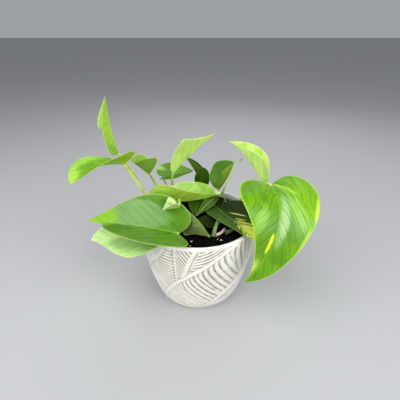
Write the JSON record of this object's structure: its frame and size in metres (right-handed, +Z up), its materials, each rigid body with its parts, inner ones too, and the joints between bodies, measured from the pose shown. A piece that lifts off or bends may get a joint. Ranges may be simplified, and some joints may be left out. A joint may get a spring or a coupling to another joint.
{
  "type": "potted trailing house plant",
  "caption": "Small potted pothos with heart-shaped variegated leaves on slender petioles, in a rounded open ceramic pot with leaf relief, filled with potting soil.",
  "frame": {"origin": "centre of the pot's flat base, on the surface that the pot stands on", "axes": "+Z up along the axis of the pot; -Y towards the viewer of the picture; +X to the right of the picture, where the largest leaf hangs"},
  "size_m": [0.2383, 0.1341, 0.2115],
  "materials": {
    "ceramic": "matt off-white glaze, taupe in the relief grooves",
    "potting_soil": "moist, dark, coarse, with a few white perlite grains",
    "leaf": "satin, waxy, green with lighter variegation",
    "leaf_pale": "satin, waxy, pale variegated green",
    "leaf_new": "satin, yellow-green young tissue",
    "petiole": "smooth, pale green",
    "vine": "smooth, dark green",
    "cut_stem": "dry, pale, pinkish"
  },
  "bodies": {
    "root": {"cut_stub": "cut_stem", "leaf_across": "leaf", "leaf_back_left": "leaf", "leaf_back_narrow": "leaf", "leaf_back_right": "leaf", "leaf_back_round": "leaf", "leaf_far_left": "leaf", "leaf_front_left": "leaf", "leaf_front_right": "leaf", "leaf_inner_drooping": "leaf", "leaf_inner_pale": "leaf_pale", "leaf_large_right": "leaf", "leaf_low_dark": "leaf", "leaf_low_middle": "leaf", "leaf_low_pale": "leaf_pale", "leaf_lower_left": "leaf_pale", "leaf_newest": "leaf_new", "leaf_upper_right": "leaf_new", "leaf_upper_small": "leaf_new", "leaf_upper_tall": "leaf_new", "petiole_across": "petiole", "petiole_back_left": "petiole", "petiole_back_narrow": "petiole", "petiole_back_right": "petiole", "petiole_back_round": "petiole", "petiole_far_left": "petiole", "petiole_front_left": "petiole", "petiole_front_right": "petiole", "petiole_inner_drooping": "vine", "petiole_inner_pale": "petiole", "petiole_large_right": "petiole", "petiole_low_dark": "petiole", "petiole_low_middle": "petiole", "petiole_low_pale": "petiole", "petiole_lower_left": "petiole", "petiole_newest": "petiole", "petiole_upper_right": "petiole", "petiole_upper_small": "petiole", "petiole_upper_tall": "petiole", "pot": "ceramic", "rolled_leaf": "leaf_new", "soil": "potting_soil", "vine_lying": "vine"}
  },
  "joints": []
}
